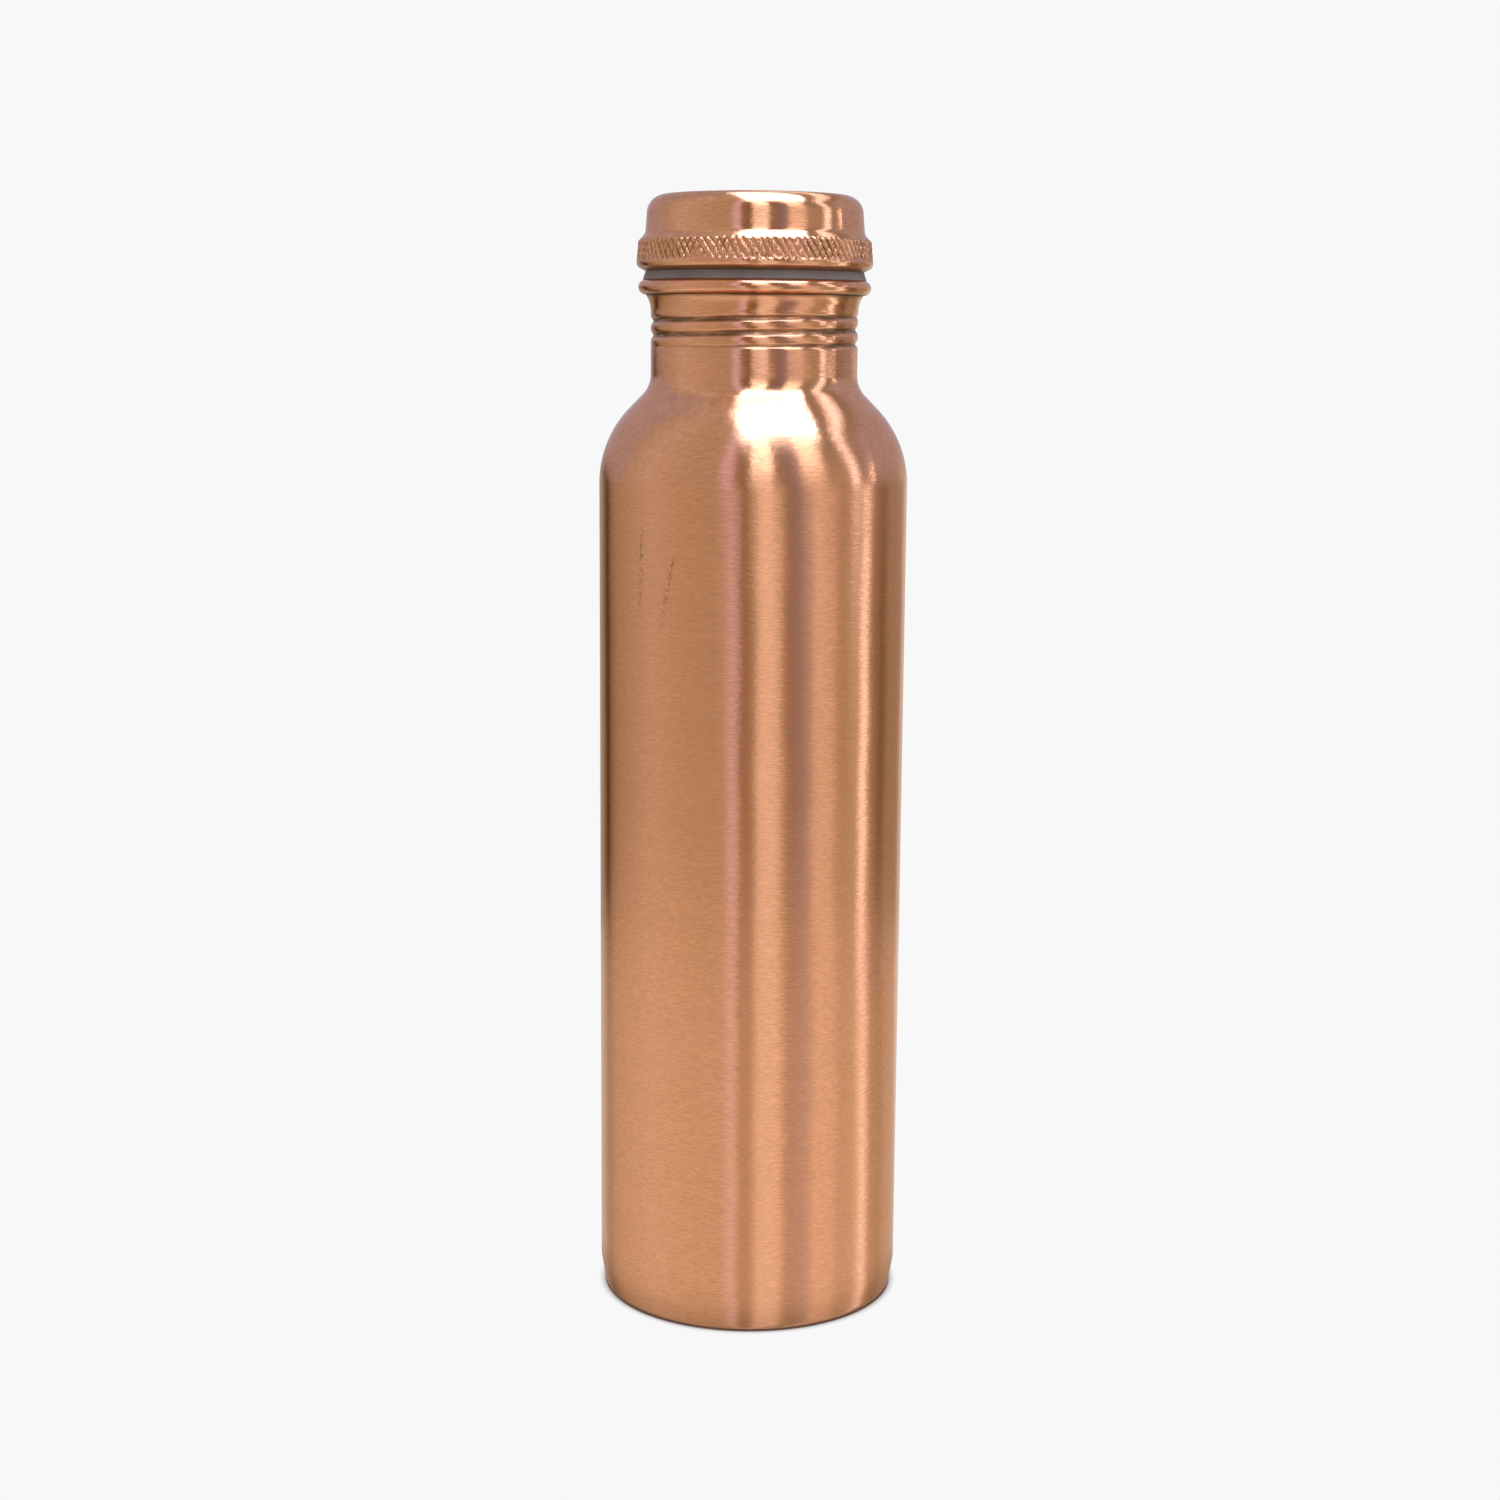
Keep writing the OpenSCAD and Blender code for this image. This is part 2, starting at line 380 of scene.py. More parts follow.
def cut_knurl(piece, outline, low, high):
    """Presses crossed slanting cuts into the band between two heights, on the sheet's outer face. The
    cuts wander, they are worn, and the rising ones are shallower than the falling ones."""
    cap = bpy.context.scene.bottle_cap
    cut_width = 0.6
    run_in, run_out = 0.5 * MM, 0.4 * MM

    def cut(turn):
        return max(0, 1 - abs(turn % 1 - 0.5) * 2 / cut_width)

    def shift(angle, z, radius):
        if not low < z < high or abs(radius - radius_at(outline, z)) > cap.sheet / 2:
            return 0
        across = angle * cap.teeth / math.tau + 0.35 * wander(angle, z, 11, 29)
        along = (z - low) / cap.knurl_rise
        skew = 0.3 * wander(angle, z, 7, 37)
        fade = eased((z - low) / run_in) * eased((high - z) / run_out)
        wear = 0.8 + 0.5 * wander(angle, z, 4, 5)
        falling = cut(across + along) * (1 + 0.4 * wander(angle, z, 9, 11))
        rising = cut(across - along + skew) * (0.62 + 0.6 * wander(angle, z, 6, 17))
        return -cap.knurl_depth * fade * wear * max(falling, rising)

    shift_radially(piece, shift, 1.5 * cap.knurl_depth)


def finish_piece(piece, body, node, material, smooth_angle=math.radians(38)):
    """Shades a piece, gives it its material and ties it to the packed model."""
    deselect()
    piece.select_set(True)
    bpy.context.view_layer.objects.active = piece
    bpy.ops.object.shade_smooth_by_angle(angle=smooth_angle)
    piece.data.materials.clear()
    piece.data.materials.append(material)
    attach(piece, body)
    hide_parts(node)


# ---------------------------------------------------------------------------------------------------
# Materials


class Nodes:
    """Short names for building a node tree."""

    def __init__(self, tree):
        self.tree = tree
        self.tree.nodes.clear()

    def add(self, kind, inputs=None, **settings):
        node = self.tree.nodes.new(kind)
        for name, value in settings.items():
            setattr(node, name, value)
        for name, value in (inputs or {}).items():
            if isinstance(value, bpy.types.NodeSocket):
                self.tree.links.new(value, node.inputs[name])
            else:
                node.inputs[name].default_value = value
        return node

    def math(self, operation, a, b=0.0, c=0.0):
        return self.add("ShaderNodeMath", {0: a, 1: b, 2: c}, operation=operation).outputs[0]

    def remap(self, value, low, high, to_low=0.0, to_high=1.0):
        inputs = {
            "Value": value, "From Min": low, "From Max": high, "To Min": to_low, "To Max": to_high
        }
        return self.add("ShaderNodeMapRange", inputs).outputs["Result"]

    def noise(self, vector, scale, detail, roughness):
        inputs = {"Vector": vector, "Scale": scale, "Detail": detail, "Roughness": roughness}
        return self.add("ShaderNodeTexNoise", inputs).outputs["Fac"]

    def mix(self, factor, a, b, blend="MIX"):
        node = self.add("ShaderNodeMix", data_type="RGBA", blend_type=blend)
        for socket, value in zip((node.inputs[0], node.inputs[6], node.inputs[7]), (factor, a, b)):
            if isinstance(value, bpy.types.NodeSocket):
                self.tree.links.new(value, socket)
            else:
                socket.default_value = value
        return node.outputs[2]


def new_material(name):
    """A new material and its empty node tree."""
    material = bpy.data.materials.new(name)
    material.use_nodes = True
    return material, Nodes(material.node_tree)


def rgba(colour, scale=1.0):
    return (*[min(c * scale, 1) for c in colour], 1)


# Tints in the brushed copper: of its clouds, and of its palest streaks
ROSY = (0.93, 0.40, 0.24)
BRIGHT = (1.0, 0.55, 0.33)

# Scratches down the wall: (angle and height of the top, angle and height of the bottom)
SCRATCHES = (
    ((math.radians(-133.5), 188 * MM), (math.radians(-135.0), 167 * MM)),
    ((math.radians(-119.0), 182 * MM), (math.radians(-125.0), 164 * MM)),
)


def scratch_marks(n, x, y, z, flecks):
    """How strongly each point is marked by the scratches, which are broken up into flecks."""
    angle = n.math("ARCTAN2", y, x)
    marks = 0.0
    for (top_angle, top), (low_angle, low) in SCRATCHES:
        middle = n.remap(z, low, top, low_angle, top_angle)
        aside = n.math("ABSOLUTE", n.math("SUBTRACT", angle, middle))
        near = n.remap(aside, 0.9 * MM / BODY.x, 0.2 * MM / BODY.x)
        over, under = n.remap(z, low - MM, low + 4 * MM), n.remap(z, top + MM, top - 4 * MM)
        between = n.math("MULTIPLY", over, under)
        marks = n.math("MAXIMUM", n.math("MULTIPLY", near, between), marks)
    return n.math("MULTIPLY", marks, flecks)


def brushed_copper(name, dullness=0.0, polished_above=None, scratched=False):
    """Copper brushed round the axis, under a thin clear coat. Hollows are darkened towards the tarnish
    colour: painted shade in the crevices under the lip and the cap's hem, darker copper in the knurl
    cuts and thread grooves. Where a height is given, the metal is smoother above it."""
    finish = bpy.context.scene.bottle_finish
    material, n = new_material(name)
    place = n.add("ShaderNodeTexCoord").outputs["Object"]
    x, y, z = n.add("ShaderNodeSeparateXYZ", {"Vector": place}).outputs
    radius = n.math("SQRT", n.math("ADD", n.math("MULTIPLY", x, x), n.math("MULTIPLY", y, y)))
    across = n.math("ADD", z, radius)

    def streaks(run, width, detail):
        """Noise drawn out round the axis, with streaks of about the given run and width."""
        sizes = (("X", x, run), ("Y", y, run), ("Z", across, width))
        scaled = {axis: n.math("DIVIDE", value, size) for axis, value, size in sizes}
        return n.noise(n.add("ShaderNodeCombineXYZ", scaled).outputs[0], 1.0, detail, 0.6)

    fine = streaks(1.8 * MM, 0.30 * MM, 2.0)
    coarse = streaks(6 * MM, 0.9 * MM, 2.0)
    bands = streaks(60 * MM, 2.5 * MM, 2.0)
    cloud = n.noise(place, 28.0, 3.0, 0.55)
    swell = n.noise(place, 42.0, 1.0, 0.5)
    grain = streaks(1.2 * MM, 0.6 * MM, 1.0)

    colour = n.mix(n.remap(fine, 0.35, 0.65), rgba(finish.copper, 1.06), rgba(finish.copper, 0.86))
    colour = n.mix(n.remap(bands, 0.4, 0.7, 0.0, 0.12), colour, rgba(finish.copper, 0.72))
    colour = n.mix(n.remap(cloud, 0.35, 0.7, 0.0, 0.25), colour, rgba(ROSY))
    colour = n.mix(n.remap(coarse, 0.6, 0.75, 0.0, 0.25), colour, rgba(BRIGHT))
    rough = finish.roughness + dullness
    rough = n.remap(fine, 0.3, 0.7, rough - 0.03, rough + 0.03)
    if polished_above:
        smoother = n.remap(z, polished_above - 20 * MM, polished_above, 1.0, 0.75)
        rough = n.math("MULTIPLY", rough, smoother)
    # The hollow attribute darkens the copper: painted shade in the crevices under the lip and the
    # cap's hem, darker copper in the knurl cuts and thread grooves
    hollow = n.add("ShaderNodeAttribute", attribute_name="hollow").outputs["Fac"]
    patchy = n.remap(streaks(5 * MM, 1.2 * MM, 2.0), 0.3, 0.6, 0.5, 1.0)
    tarnish_and_shade_mask = n.math("MULTIPLY", n.remap(hollow, 0.1, 0.65), patchy)
    colour = n.mix(tarnish_and_shade_mask, colour, rgba(finish.tarnish_and_shade))
    rough = n.math("MULTIPLY_ADD", tarnish_and_shade_mask, 0.25, rough)
    if scratched:
        flecks = n.remap(streaks(0.5 * MM, 0.9 * MM, 1.0), 0.5, 0.62, 0.0, 0.7)
        colour = n.mix(scratch_marks(n, x, y, z, flecks), colour, rgba(finish.tarnish_and_shade))
    heights = ((fine, 0.015 * MM), (coarse, 0.03 * MM), (grain, 0.012 * MM), (swell, 0.25 * MM))
    height = 0.0
    for pattern, depth in heights:
        height = n.math("ADD", n.math("MULTIPLY", pattern, depth), height)
    bump = n.add("ShaderNodeBump", {"Strength": 1.0, "Distance": 1.0, "Height": height})
    tangent = n.add("ShaderNodeTangent", direction_type="RADIAL", axis="Z")
    shader = n.add(
        "ShaderNodeBsdfPrincipled",
        {"Base Color": colour, "Metallic": 1.0, "Roughness": rough, "Normal": bump.outputs[0],
         "Tangent": tangent.outputs[0]},
    )
    shader.inputs["Anisotropic"].default_value = finish.brushing
    shader.inputs["Anisotropic Rotation"].default_value = 0.25
    shader.inputs["Specular Tint"].default_value = rgba(finish.edge)
    shader.inputs["Coat Weight"].default_value = finish.lacquer
    shader.inputs["Coat Roughness"].default_value = 0.06
    n.add("ShaderNodeOutputMaterial", {"Surface": shader.outputs[0]})
    return material


def grey_rubber(name):
    """Dull silicone with a fine moulded grain."""
    finish = bpy.context.scene.bottle_finish
    material, n = new_material(name)
    place = n.add("ShaderNodeTexCoord").outputs["Object"]
    grain = n.noise(place, 1400.0, 2.0, 0.6)
    dust = n.noise(place, 160.0, 3.0, 0.6)
    colour = n.mix(n.remap(dust, 0.35, 0.75), rgba(finish.seal), rgba(finish.seal, 1.35))
    rough = n.remap(grain, 0.3, 0.7, 0.5, 0.62)
    height = n.math("MULTIPLY", grain, 0.02 * MM)
    bump = n.add("ShaderNodeBump", {"Strength": 0.6, "Distance": 1.0, "Height": height})
    shader = n.add(
        "ShaderNodeBsdfPrincipled",
        {"Base Color": colour, "Roughness": rough, "Normal": bump.outputs[0]},
    )
    n.add("ShaderNodeOutputMaterial", {"Surface": shader.outputs[0]})
    return material


# ---------------------------------------------------------------------------------------------------
# Pieces


class MakeBody(bpy.types.Operator):
    """Spins the body's sheet from foot to rolled lip, and rolls the thread into its neck"""

    bl_idname = "bottle.make_body"
    bl_label = "Body"

    def execute(self, context):
        p = context.scene.bottle_body
        low, high = thread_low(), thread_high()
        foot = BODY.x - p.foot_draw
        neck_z = low - p.neck_height
        curves = p.shoulder + p.fillet
        slope = math.acos((curves - (BODY.x - p.neck)) / math.hypot(curves, p.shoulder_run))
        slope -= math.atan2(p.shoulder_run, curves)
        shoulder_z = neck_z - curves * math.sin(slope) - p.shoulder_run * math.cos(slope)
        lip = Vector((p.neck - p.sheet + p.lip_back + p.lip, BODY.z - p.lip + p.lip_seat))
        half = math.pi / 2

        # Foot, wall, shoulder, neck and threaded band
        wall = [Vector((foot - p.foot_width, 0))]
        wall += arc((foot - p.foot_corner, p.foot_corner), p.foot_corner, -half, 0, 8)
        wall += [Vector((BODY.x, p.foot_height))]
        wall += arc((BODY.x - p.shoulder, shoulder_z), p.shoulder, 0, slope, 28)
        wall += arc((p.neck + p.fillet, neck_z), p.fillet, math.pi + slope, math.pi, 14)
        wall += [Vector((p.neck, z)) for z in levels(low, high, THREAD_ROW)]

        # Flare, the hollow inside the roll, and the roll itself, back to the bore
        flare = arc((p.neck + p.flare, high), p.flare, math.pi, math.pi - p.flare_angle, 12)[1:]
        hollow = arc(lip, p.lip - p.sheet, math.pi, -half, 30)
        roll = arc(lip, p.lip, -half, math.pi, 40)
        roll = [Vector((q.x, min(q.y, BODY.z))) for q in roll]
        bore = [Vector((p.neck - p.sheet, high + p.sheet))]
        section = wall + flare + hollow + roll + bore + moved(wall, p.sheet)[::-1]

        piece = spin_section("Bottle_body", section, p.facets)
        roll_thread(piece, -1, 2.5)
        # Painted shade: darkens the crevice under the rolled lip
        paint_crevice_shade(piece, (lip.x + 0.2 * MM, lip.y - p.lip), LIP_SHADE_REACH)
        copper = brushed_copper("Brushed copper body", polished_above=neck_z, scratched=True)
        finish_piece(piece, "bottle", "bottle_body", copper)
        return {"FINISHED"}


class MakeBasePlate(bpy.types.Operator):
    """Spins the dished plate that closes the bottom of the body"""

    bl_idname = "bottle.make_base_plate"
    bl_label = "Base plate"

    def execute(self, context):
        p = context.scene.bottle_cap
        dish = PLATE.x - p.plate_rim
        rise = PLATE.z - p.plate_sheet - PLATE_LOW.z
        curve = (dish**2 + rise**2) / (2 * rise)
        edge = math.acos(dish / curve)
        path = arc((0, PLATE_LOW.z + rise - curve), curve, math.pi / 2, edge, 16)
        path[0].x = 0
        path += [Vector((PLATE.x, PLATE_LOW.z))]
        piece = spin_section("Base_plate", sheet_section(path, p.plate_sheet), RING_FACETS)
        copper = brushed_copper("Pressed copper base", dullness=0.08)
        finish_piece(piece, "bottle", "base_plate", copper)
        return {"FINISHED"}


class MakeSeal(bpy.types.Operator):
    """Spins the seal ring between the lip and the cap"""

    bl_idname = "bottle.make_seal"
    bl_label = "Seal ring"

    def execute(self, context):
        p = context.scene.bottle_cap
        bore = plug_radius() + p.seal_gap
        soft = 0.25 * MM
        section = rounded([
            (bore, SEAL_LOW.z, soft),
            (SEAL.x, SEAL_LOW.z, soft),
            (SEAL.x - p.seal_slope, SEAL.z, soft),
            (bore, SEAL.z, soft),
        ])
        piece = spin_section("Seal_ring", section, RING_FACETS)
        finish_piece(piece, "seal", "seal_ring", grey_rubber("Grey silicone"))
        return {"FINISHED"}


class MakeCapShell(bpy.types.Operator):
    """Spins the cap's shell and presses the knurl into its grip band"""

    bl_idname = "bottle.make_cap_shell"
    bl_label = "Cap shell"

    def execute(self, context):
        p = context.scene.bottle_cap
        seal_z = SHELL_LOW.z
        hem_step, hem_low, hem_high = 0.3 * MM, 0.9 * MM, 1.6 * MM
        crisp, soft, hollow = 0.3 * MM, 0.5 * MM, 2 * MM
        grip_top = seal_z + p.grip_height - p.ledge
        band_low = seal_z + p.knurl_low
        knurl_top = grip_top + 0.25 * p.ledge
        edge_r = p.side - p.taper
        dome_run = edge_r - p.edge
        dome_curve = (dome_run**2 + p.dome**2) / (2 * p.dome)
        dome_angle = math.asin(dome_run / dome_curve)
        edge_z = SHELL.z - p.dome - p.edge * math.cos(dome_angle)

        # The turned-in edge and the hem
        path = rounded([
            (plug_radius() + p.seal_gap, seal_z, 0),
            (p.side, seal_z, crisp),
            (SHELL.x - hem_step, seal_z + hem_low, soft),
            (SHELL.x, seal_z + hem_high, soft),
            (SHELL.x, band_low, 0),
        ])
        # The grip band and its ledge, in steps as short as the knurl needs
        grip = rounded([
            (SHELL.x, band_low, 0),
            (SHELL.x - p.grip_taper, grip_top, soft),
            (p.side, seal_z + p.grip_height, hollow),
            (edge_r, edge_z, 0),
        ])[:-1]
        grip = refined(grip, p.knurl_rise / p.facets_per_tooth)
        path += grip[1:]
        # The side, the upper edge and the dome
        quarter = math.pi / 2
        path += arc((edge_r - p.edge, edge_z), p.edge, 0, quarter - dome_angle, 16)
        path += arc((0, SHELL.z - dome_curve), dome_curve, quarter - dome_angle, quarter, 10)[1:]
        path[-1].x = 0
        section = sheet_section(path, p.sheet, thin=2)
        piece = spin_section("Cap_shell", section, p.teeth * p.facets_per_tooth)
        cut_knurl(piece, grip, band_low, knurl_top)
        # Painted shade: darkens the underside of the cap's hem where it meets the seal
        paint_crevice_shade(piece, (p.side, seal_z), CAP_SHADE_REACH)
        copper = brushed_copper("Brushed copper cap", dullness=-0.04)
        finish_piece(piece, "cap", "cap_shell", copper, math.radians(30))
        return {"FINISHED"}


class MakePlug(bpy.types.Operator):
    """Spins the closed cup under the cap and rolls its thread outwards"""

    bl_idname = "bottle.make_plug"
    bl_label = "Threaded plug"

    def execute(self, context):
        p = context.scene.bottle_cap
        sheet = context.scene.bottle_body.sheet
        stem = plug_radius()
        path = [Vector((0, PLUG_LOW.z))]
        corner = p.plug_corner
        path += arc((stem - corner, PLUG_LOW.z + corner), corner, -math.pi / 2, 0, 8)
        path += [Vector((stem, z)) for z in levels(thread_low(), thread_high(), THREAD_ROW)]
        path += [Vector((stem, PLUG.z - sheet)), Vector((PLUG.x, PLUG.z - sheet))]
        piece = spin_section("Cap_plug", sheet_section(path, sheet), PLUG_FACETS)
        roll_thread(piece, 1, 1.0)
        copper = brushed_copper("Pressed copper plug", dullness=0.05)
        finish_piece(piece, "cap", "cap_plug", copper)
        return {"FINISHED"}


# ---------------------------------------------------------------------------------------------------
# Stage

# Tints of the light
RUST, WARM, GOLD = (1.0, 0.76, 0.40), (1.0, 0.80, 0.56), (1.0, 0.97, 0.84)
PLAIN, COOL = (1.0, 1.0, 1.0), (1.0, 1.05, 1.12)
PINK, MAUVE, WHITE = (1.0, 0.98, 1.45), (1.0, 0.98, 1.3), (1.0, 1.12, 1.35)

# What stands round the bottle: (degrees to the right of the camera, brightness, tint)
SCREENS = [
    (-180, 0.50, PLAIN),
    (-160, 0.40, PLAIN),
    (-150, 0.30, PLAIN),
    (-144, 0.14, WARM),
    (-138, 0.0, WARM),
    (-134, 0.24, WARM),
    (-122, 0.40, GOLD),
    (-80, 0.59, PLAIN),
    (-50, 0.52, GOLD),
    (-20, 0.47, GOLD),
    (-16, 0.74, PINK),
    (-10.5, 0.72, PINK),
    (-8, 0.30, RUST),
    (1, 0.23, RUST),
    (5, 0.82, COOL),
    (19, 0.94, COOL),
    (25, 0.32, WARM),
    (37, 0.28, MAUVE),
    (43.5, 0.38, MAUVE),
    (47.5, 0.77, PLAIN),
    (63, 0.76, PLAIN),
    (68, 0.46, GOLD),
    (87, 0.44, GOLD),
    (91, 1.60, WHITE),
    (95, 1.60, WHITE),
    (100, 0.30, GOLD),
    (109, 0.30, WARM),
    (115, 0.16, WARM),
    (125, 0.36, GOLD),
    (148, 0.36, PLAIN),
    (158, 0.70, PLAIN),
    (180, 0.50, PLAIN),
]

# The upper half of the room: its tint, how far it is turned against the half that shows in the
# table, and how much further for each radian to the right
ROOM_TINT = (1.0, 1.03, 1.16, 1)
ROOM_TURN = math.radians(6)
SPREAD = 0.06

# Low down the room swings the other way: how far for each radian to the right, and the most that
# it may at the front
FOOT_SPREAD = 0.3
FOOT_TURN = math.radians(4)

# The wall behind, and the screens that stand on the right like a doorway
FAR_WALL = (0.44, 0.46, 0.58, 1)
DOOR = math.radians(125)
DOOR_HEIGHT = 1.3
DOOR_ROUNDING = math.radians(12)

# The overhead light: its colour, and how its front and side edges slant on the ceiling
CEILING_LIGHT = (3.5, 4.4, 6.3, 1)
FRONT_SLANT = 0.41
SIDE_SLANT = -0.75

# Small lamps on the right: (bearing, height) in degrees
LAMPS = ((100, 4), (101, 9), (97, 6))
LAMP_DISTANCE = 1.5
LAMP_SIZE = 0.02
LAMP_POWER = 0.2

# The floor that the camera sees, and its contact shadow
FLOOR_SIZE = 12
FLOOR_DEPTH = 0.2 * MM
FLOOR_SHADOW = (0.12, 0.06, 0.04, 1)
FLOOR_SHADOW_REACH = 2.2 * MM

# The table that only the copper sees: how clear it is, and how far from the foot it is shaded
TABLE_SIZE = 0.35
TABLE_DEPTH = 0.4 * MM
TABLE_WHITE = (1.0, 1.02, 1.05, 1)
TABLE_CLEARNESS = 0.6
TABLE_SHADE_REACH = 14 * MM


def by_degrees(n, angle, low, high):
    """Rises from 0 to 1 as an angle goes from low to high degrees."""
    return n.remap(angle, math.radians(low), math.radians(high))


def by_slope(n, z, low, high, to_high=1.0):
    """Goes from 0 to to_high as a direction's height goes from low to high degrees."""
    return n.remap(z, math.sin(math.radians(low)), math.sin(math.radians(high)), 0.0, to_high)


def studio_world(pale):
    """The room as the copper sees it, by compass direction, and a plain pale background behind."""
    world = bpy.data.worlds.new("Studio")
    bpy.context.scene.world = world
    world.use_nodes = True
    n = Nodes(world.node_tree)
    direction = n.add("ShaderNodeTexCoord").outputs["Generated"]
    x, y, z = n.add("ShaderNodeSeparateXYZ", {"Vector": direction}).outputs
    above = by_slope(n, z, -2, -0.7)
    bearing = n.math("ARCTAN2", x, n.math("MULTIPLY", y, -1.0))

    # The screens on the right stand like a doorway, with lintels across the top
    forward = n.math("MULTIPLY_ADD", x, math.sin(DOOR), n.math("MULTIPLY", y, -math.cos(DOOR)))
    lintel = n.math("ARCTAN2", z, n.math("MULTIPLY", forward, DOOR_HEIGHT))
    framed = n.math("SMOOTH_MIN", bearing, n.math("SUBTRACT", DOOR, lintel), DOOR_ROUNDING)
    weight = n.math("MULTIPLY", n.remap(z, 0.05, 0.2), by_degrees(n, bearing, 40, 55))
    bearing = n.math("MULTIPLY_ADD", n.math("SUBTRACT", framed, bearing), weight, bearing)

    # The room's upper half is turned one way, and its lowest part the other
    right = n.math("MAXIMUM", bearing, 0.0)
    turn = n.math("MULTIPLY", n.math("MULTIPLY_ADD", right, SPREAD, ROOM_TURN), above)
    most = n.math("MULTIPLY_ADD", right, SPREAD, FOOT_TURN)
    swing = n.math("MINIMUM", n.math("MULTIPLY", right, FOOT_SPREAD), most)
    turn = n.math("MULTIPLY_ADD", swing, by_slope(n, z, -17, -20, -1.0), turn)
    bearing = n.math("ADD", bearing, turn)

    ramp = n.add("ShaderNodeValToRGB", {"Fac": n.remap(bearing, -math.pi, math.pi)})
    stops = ramp.color_ramp.elements
    for degrees, *look in SCREENS[1:-1]:
        stops.new((degrees + 180) / 360)
    for stop, (degrees, brightness, hue) in zip(stops, SCREENS):
        stop.position = (degrees + 180) / 360
        stop.color = (*[brightness * c for c in hue], 1)
    behind = by_degrees(n, n.math("ABSOLUTE", bearing), 102, 110)
    behind = n.math("MULTIPLY", behind, n.remap(z, -0.01, 0.08))
    colour = n.mix(behind, ramp.outputs["Color"], FAR_WALL)
    colour = n.mix(1.0, colour, n.mix(above, (1, 1, 1, 1), ROOM_TINT), "MULTIPLY")

    # High up, the bright screens are brighter and the dark ones darker
    gain = n.remap(colour, 0.45, 0.75, 0.7, 2.5)
    lit = n.add("ShaderNodeVectorMath", {0: colour, 1: gain}, operation="MULTIPLY").outputs[0]
    upper = n.math("MULTIPLY", n.remap(z, 0.15, 0.55), by_degrees(n, bearing, -8, -3))
    upper = n.math("MULTIPLY", upper, by_degrees(n, bearing, 89, 83))
    colour = n.mix(upper, colour, lit)

    # The soft light overhead, by its edges on a ceiling one unit up
    rise = n.math("MAXIMUM", z, 0.001)
    across = n.math("DIVIDE", x, rise)
    ahead = n.math("DIVIDE", n.math("MULTIPLY", y, -1.0), rise)
    light = n.remap(across, -0.21, -0.13)
    front = n.math("MULTIPLY_ADD", across, FRONT_SLANT, ahead)
    side = n.math("MULTIPLY_ADD", ahead, SIDE_SLANT, across)
    for place, out, inside in ((front, 0.92, 0.68), (side, 0.64, 0.56), (ahead, -0.7, -0.5)):
        light = n.math("MULTIPLY", light, n.remap(place, out, inside))
    colour = n.mix(light, colour, CEILING_LIGHT)

    room = n.add("ShaderNodeBackground", {"Color": colour, "Strength": 1.0})
    plain = n.add("ShaderNodeBackground", {"Color": (pale, pale, pale, 1), "Strength": 1.0})
    seen = n.add("ShaderNodeLightPath").outputs["Is Camera Ray"]
    mixed = n.add("ShaderNodeMixShader", {"Fac": seen, 1: room.outputs[0], 2: plain.outputs[0]})
    n.add("ShaderNodeOutputWorld", {"Surface": mixed.outputs[0]})


def pale_paper(pale):
    """Evenly lit paper that darkens only where something stands on it, and is clear from below."""
    material, n = new_material("Pale paper")
    shut_in = n.add("ShaderNodeAmbientOcclusion", {"Distance": FLOOR_SHADOW_REACH}, samples=16)
    shade = n.math("POWER", n.remap(shut_in.outputs["AO"], 0.45, 0.95), 0.4)
    colour = n.mix(shade, FLOOR_SHADOW, (pale, pale, pale, 1))
    glow = n.add("ShaderNodeEmission", {"Color": colour, "Strength": 1.0})
    clear = n.add("ShaderNodeBsdfTransparent")
    below = n.add("ShaderNodeNewGeometry").outputs["Backfacing"]
    mixed = n.add("ShaderNodeMixShader", {"Fac": below, 1: glow.outputs[0], 2: clear.outputs[0]})
    n.add("ShaderNodeOutputMaterial", {"Surface": mixed.outputs[0]})
    return material


def glossy_table():
    """White table top: partly its own brightness and partly clear, so that the room shows in it as
    in a mirror. It darkens under the foot."""
    material, n = new_material("Glossy table")
    place = n.add("ShaderNodeTexCoord").outputs["Object"]
    away = n.add("ShaderNodeVectorMath", {0: place}, operation="LENGTH").outputs["Value"]
    shade = n.remap(away, BODY.x, BODY.x + TABLE_SHADE_REACH, 0.35, 1.0)
    white = n.mix(shade, (0, 0, 0, 1), TABLE_WHITE)
    glow = n.add("ShaderNodeEmission", {"Color": white, "Strength": 1.0})
    clear = n.add("ShaderNodeBsdfTransparent")
    shaders = {"Fac": TABLE_CLEARNESS, 1: glow.outputs[0], 2: clear.outputs[0]}
    mixed = n.add("ShaderNodeMixShader", shaders)
    n.add("ShaderNodeOutputMaterial", {"Surface": mixed.outputs[0]})
    return material


def lay_disc(name, radius, depth, material):
    """Lays a flat disc a little under the bottle."""
    deselect()
    bpy.ops.mesh.primitive_circle_add(
        vertices=96, radius=radius, fill_type="NGON", location=(0, 0, -depth)
    )
    disc = bpy.context.object
    disc.name = name
    disc.data.materials.append(material)
    return disc


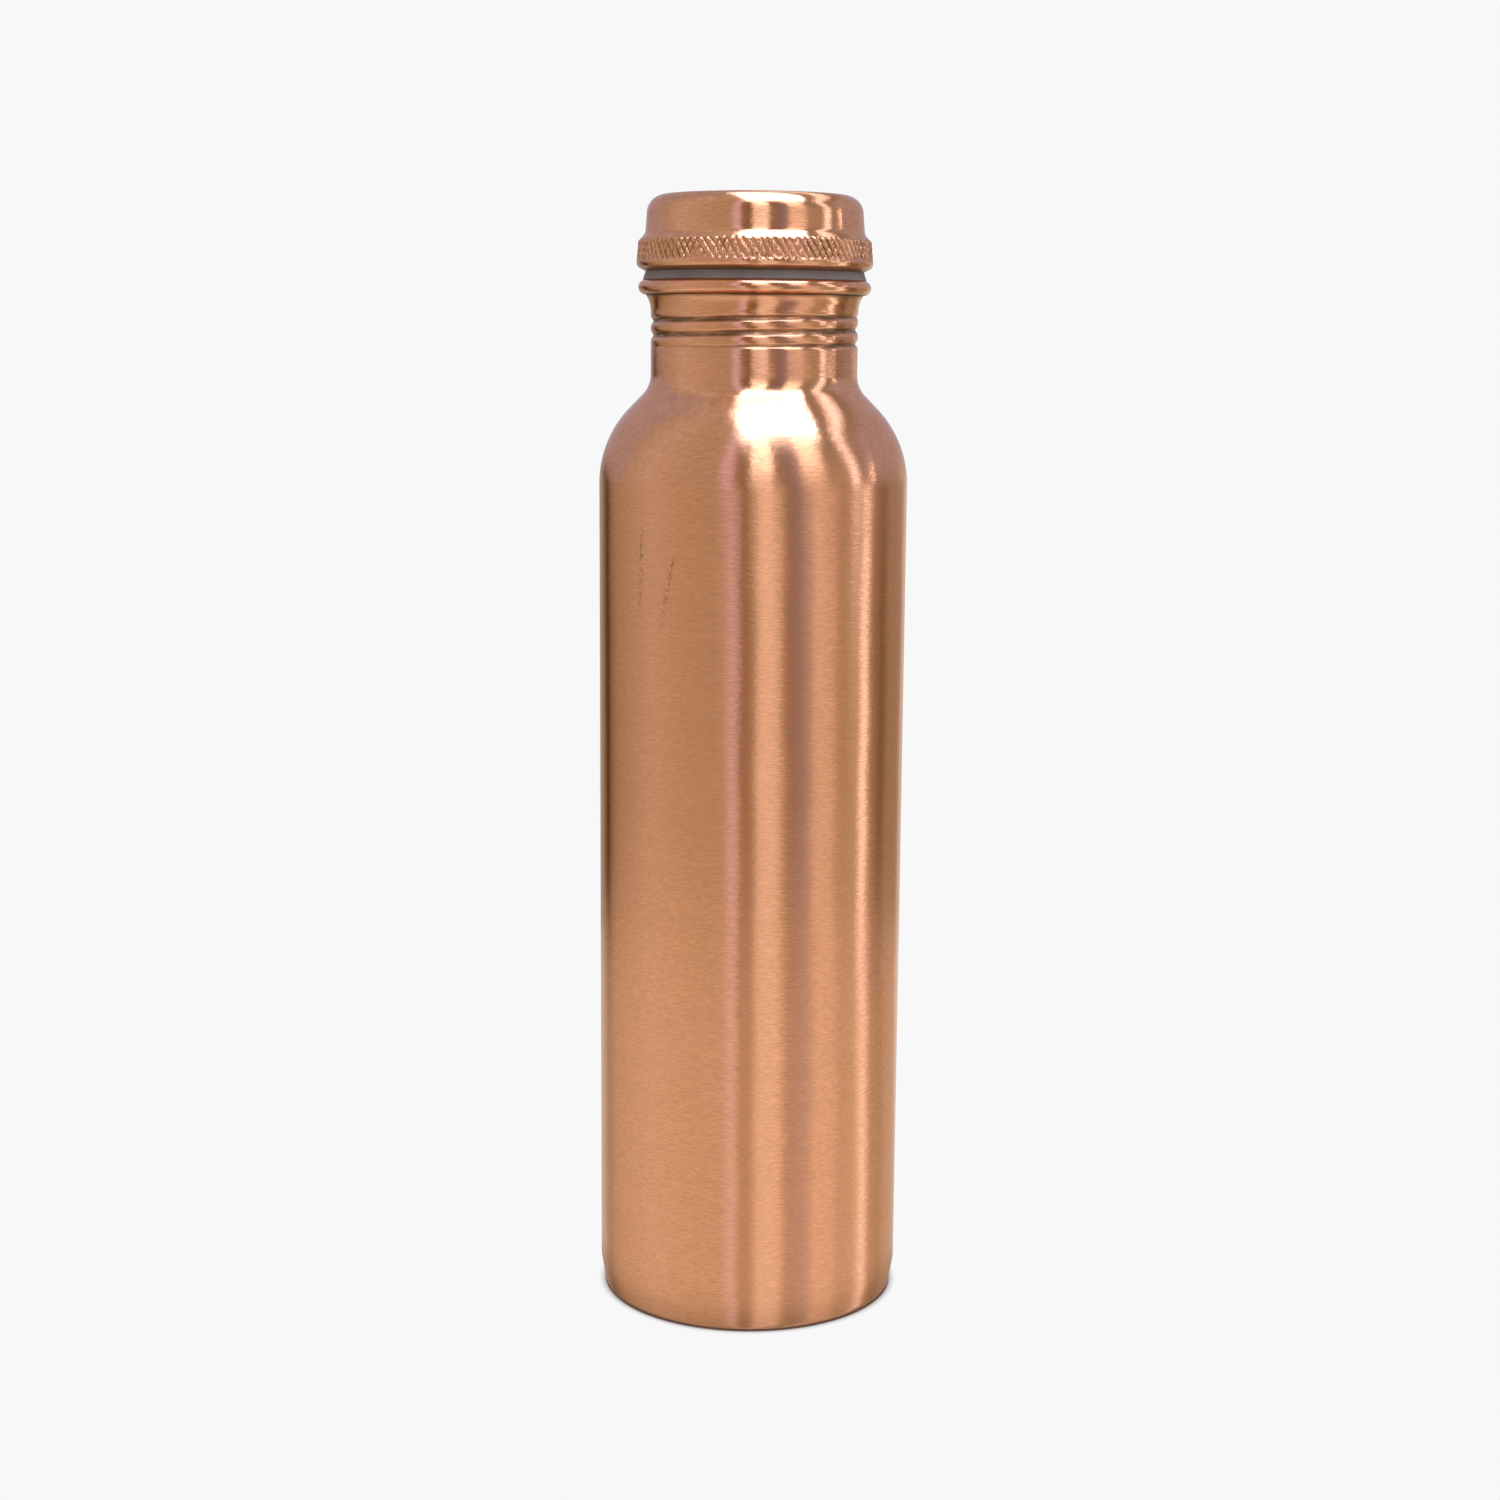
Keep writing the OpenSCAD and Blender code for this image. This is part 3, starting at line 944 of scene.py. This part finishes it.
class MakeStage(bpy.types.Operator):
    """Sets up the floor, the light and the camera"""

    bl_idname = "bottle.make_stage"
    bl_label = "Stage"

    def execute(self, context):
        p = context.scene.bottle_studio
        context.scene.view_settings.view_transform = "Standard"
        studio_world(p.pale)

        floor = lay_disc("Floor", FLOOR_SIZE, FLOOR_DEPTH, pale_paper(p.pale))
        floor.visible_glossy = False
        table = lay_disc("Table_seen_in_copper", TABLE_SIZE, TABLE_DEPTH, glossy_table())
        table.visible_camera = False

        for bearing, lift in LAMPS:
            across, up = math.radians(bearing), math.radians(lift)
            away = LAMP_DISTANCE * math.cos(up)
            height = BODY.z + LAMP_DISTANCE * math.sin(up)
            place = (away * math.sin(across), -away * math.cos(across), height)
            bpy.ops.object.light_add(type="POINT", location=place)
            context.object.name = "Lamp"
            context.object.data.shadow_soft_size = LAMP_SIZE
            context.object.data.energy = LAMP_POWER

        camera = bpy.data.objects.new("Camera", bpy.data.cameras.new("Camera"))
        context.scene.collection.objects.link(camera)
        camera.data.lens = p.lens
        camera.data.clip_start = 0.01
        camera.location = (p.aside, -p.distance, p.height)
        turn = Matrix.Rotation(math.pi / 2 - p.tilt, 3, "X") @ Matrix.Rotation(p.roll, 3, "Z")
        camera.rotation_euler = turn.to_euler()
        context.scene.camera = camera
        return {"FINISHED"}


class BottlePanel(bpy.types.Panel):
    """Lists the bottle's pieces"""

    bl_label = "Copper water bottle"
    bl_idname = "VIEW3D_PT_copper_bottle"
    bl_space_type = "VIEW_3D"
    bl_region_type = "UI"
    bl_category = "Bottle"

    def draw(self, context):
        for maker in MAKERS:
            self.layout.operator(maker.bl_idname)
        for group in SETTINGS:
            self.layout.label(text=SETTINGS[group].__doc__)
            for name in SETTINGS[group].__annotations__:
                self.layout.prop(getattr(context.scene, group), name)


SETTINGS = {
    "bottle_body": BodySizes,
    "bottle_thread": ThreadSizes,
    "bottle_cap": CapSizes,
    "bottle_finish": Finish,
    "bottle_studio": Studio,
}
MAKERS = (MakeBody, MakeBasePlate, MakeSeal, MakeCapShell, MakePlug, MakeStage)


def register():
    for cls in (*SETTINGS.values(), *MAKERS, BottlePanel):
        bpy.utils.register_class(cls)
    for group, cls in SETTINGS.items():
        setattr(bpy.types.Scene, group, PointerProperty(type=cls))


def unregister():
    for group in SETTINGS:
        delattr(bpy.types.Scene, group)
    for cls in (BottlePanel, *reversed(MAKERS), *reversed(SETTINGS.values())):
        bpy.utils.unregister_class(cls)


def main():
    register()
    bpy.ops.bottle.make_body()
    bpy.ops.bottle.make_base_plate()
    bpy.ops.bottle.make_seal()
    bpy.ops.bottle.make_cap_shell()
    bpy.ops.bottle.make_plug()
    bpy.ops.bottle.make_stage()


if __name__ == "__main__":
    main()
